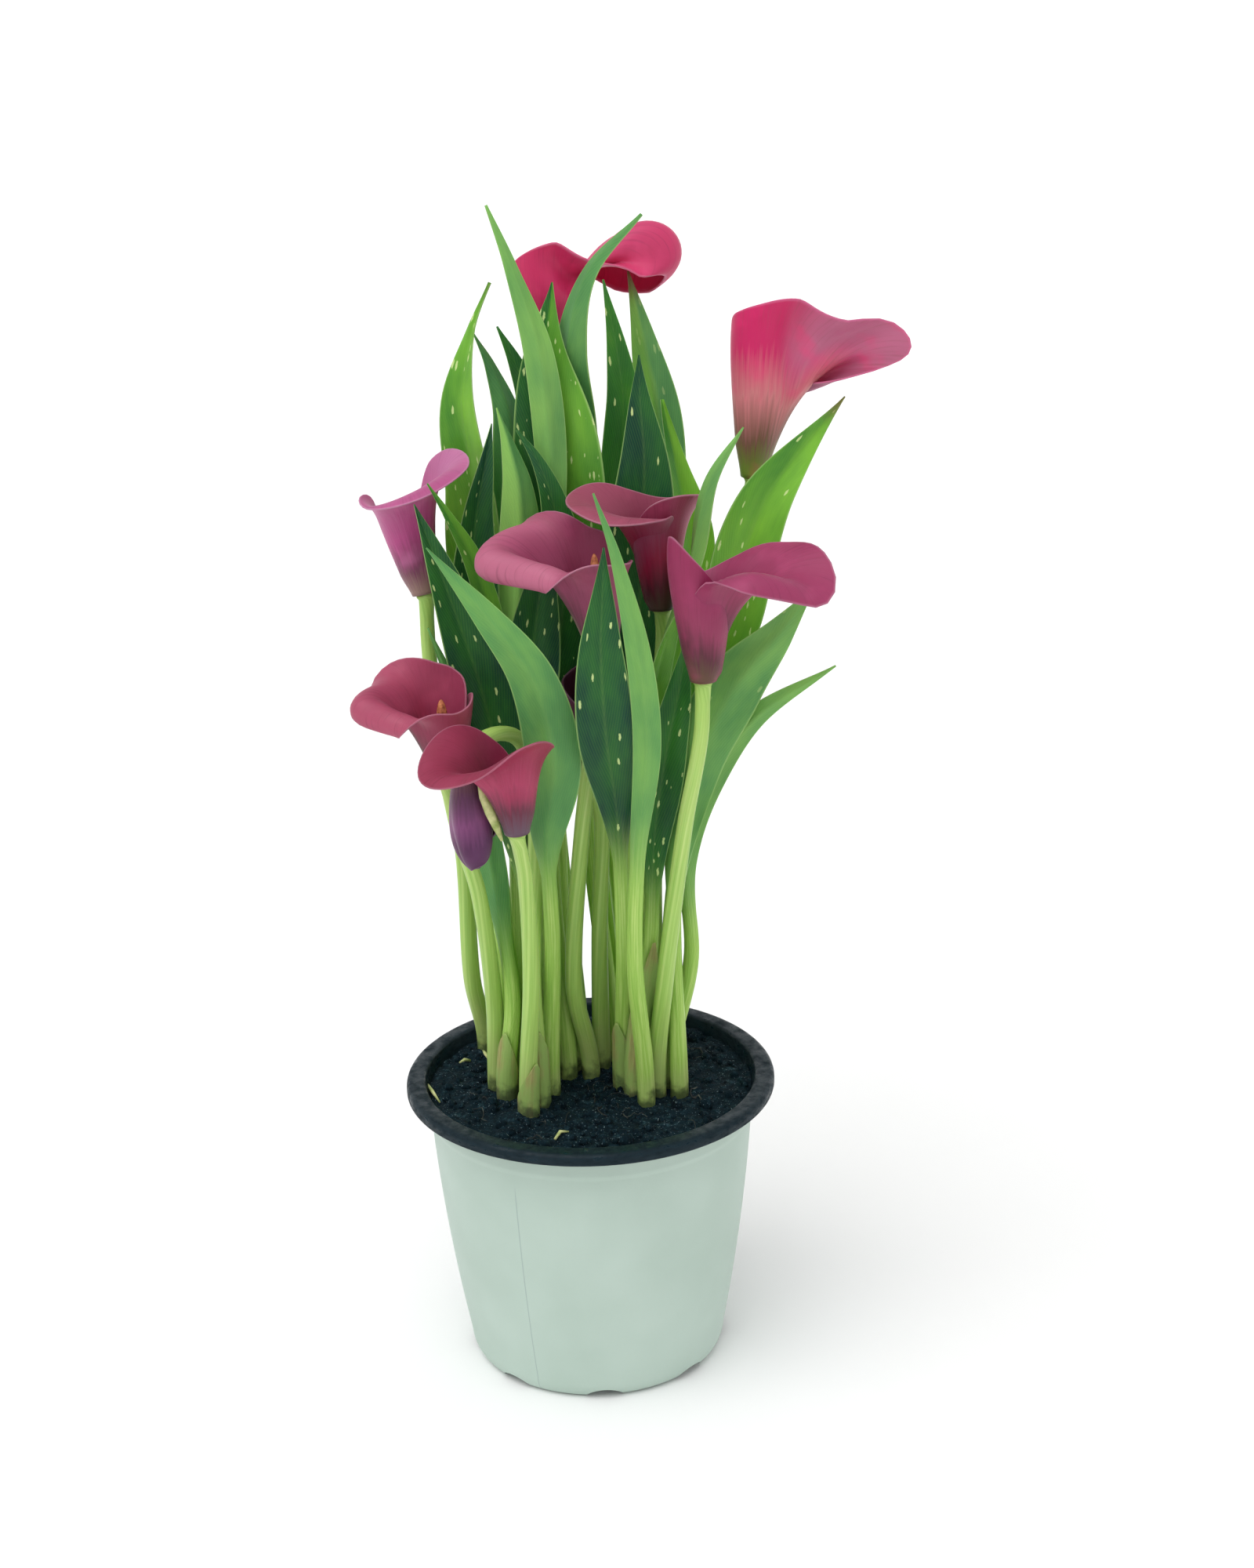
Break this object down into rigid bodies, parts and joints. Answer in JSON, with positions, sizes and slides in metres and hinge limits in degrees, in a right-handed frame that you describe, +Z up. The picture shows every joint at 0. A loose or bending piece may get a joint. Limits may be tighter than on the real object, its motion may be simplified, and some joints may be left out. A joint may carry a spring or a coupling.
{
  "type": "potted calla lily",
  "caption": "Potted calla lily with rolled magenta blooms on tall stalks over lance-shaped flecked leaves, in a round nursery pot with a dark rolled rim and pale green wall.",
  "frame": {"origin": "middle of the flat base of the pot, on the surface that it stands on", "axes": "+Z up along the pot's axis, -Y toward the viewer of the picture, +X to the right"},
  "size_m": [0.199, 0.1559, 0.4403],
  "materials": {
    "pot_pale_green": "satin moulded plastic, pale green outside and near black inside and on the rim",
    "peat": "rough damp peat",
    "tuber_skin": "rough dull skin",
    "leaf_green": "satin leaf with pale flecks",
    "stalk_green": "satin fleshy stalk",
    "spathe_magenta": "velvety petal-like sheet",
    "spadix_orange": "matt, finely beaded"
  },
  "bodies": {
    "root": {"pot": "pot_pale_green", "soil": "peat", "tuber_1": "tuber_skin", "tuber_2": "tuber_skin", "tuber_3": "tuber_skin", "leaf_01": "leaf_green", "leaf_02": "leaf_green", "leaf_03": "leaf_green", "leaf_04": "leaf_green", "leaf_05": "leaf_green", "leaf_06": "leaf_green", "leaf_07": "leaf_green", "leaf_08": "leaf_green", "leaf_09": "leaf_green", "leaf_10": "leaf_green", "leaf_11": "leaf_green", "leaf_12": "leaf_green", "leaf_13": "leaf_green", "leaf_14": "leaf_green", "leaf_15": "leaf_green", "leaf_16": "leaf_green", "leaf_17": "leaf_green", "leaf_18": "leaf_green", "leaf_19": "leaf_green", "leaf_20": "leaf_green", "leaf_21": "leaf_green", "leaf_22": "leaf_green", "leaf_23": "leaf_green", "leaf_24": "leaf_green", "leaf_25": "leaf_green", "stalk_top": "stalk_green", "spathe_top": "spathe_magenta", "spadix_top": "spadix_orange", "stalk_right_high": "stalk_green", "spathe_right_high": "spathe_magenta", "spadix_right_high": "spadix_orange", "stalk_left": "stalk_green", "spathe_left": "spathe_magenta", "spadix_left": "spadix_orange", "stalk_middle_open": "stalk_green", "spathe_middle_open": "spathe_magenta", "spadix_middle_open": "spadix_orange", "stalk_middle_right": "stalk_green", "spathe_middle_right": "spathe_magenta", "spadix_middle_right": "spadix_orange", "stalk_right": "stalk_green", "spathe_right": "spathe_magenta", "spadix_right": "spadix_orange", "stalk_left_low": "stalk_green", "spathe_left_low": "spathe_magenta", "spadix_left_low": "spadix_orange", "stalk_left_front": "stalk_green", "spathe_left_front": "spathe_magenta", "spadix_left_front": "spadix_orange", "stalk_shaded": "stalk_green", "spathe_shaded": "spathe_magenta", "spadix_shaded": "spadix_orange", "stalk_drooping": "stalk_green", "spathe_drooping": "spathe_magenta", "spadix_drooping": "spadix_orange"}
  },
  "joints": []
}
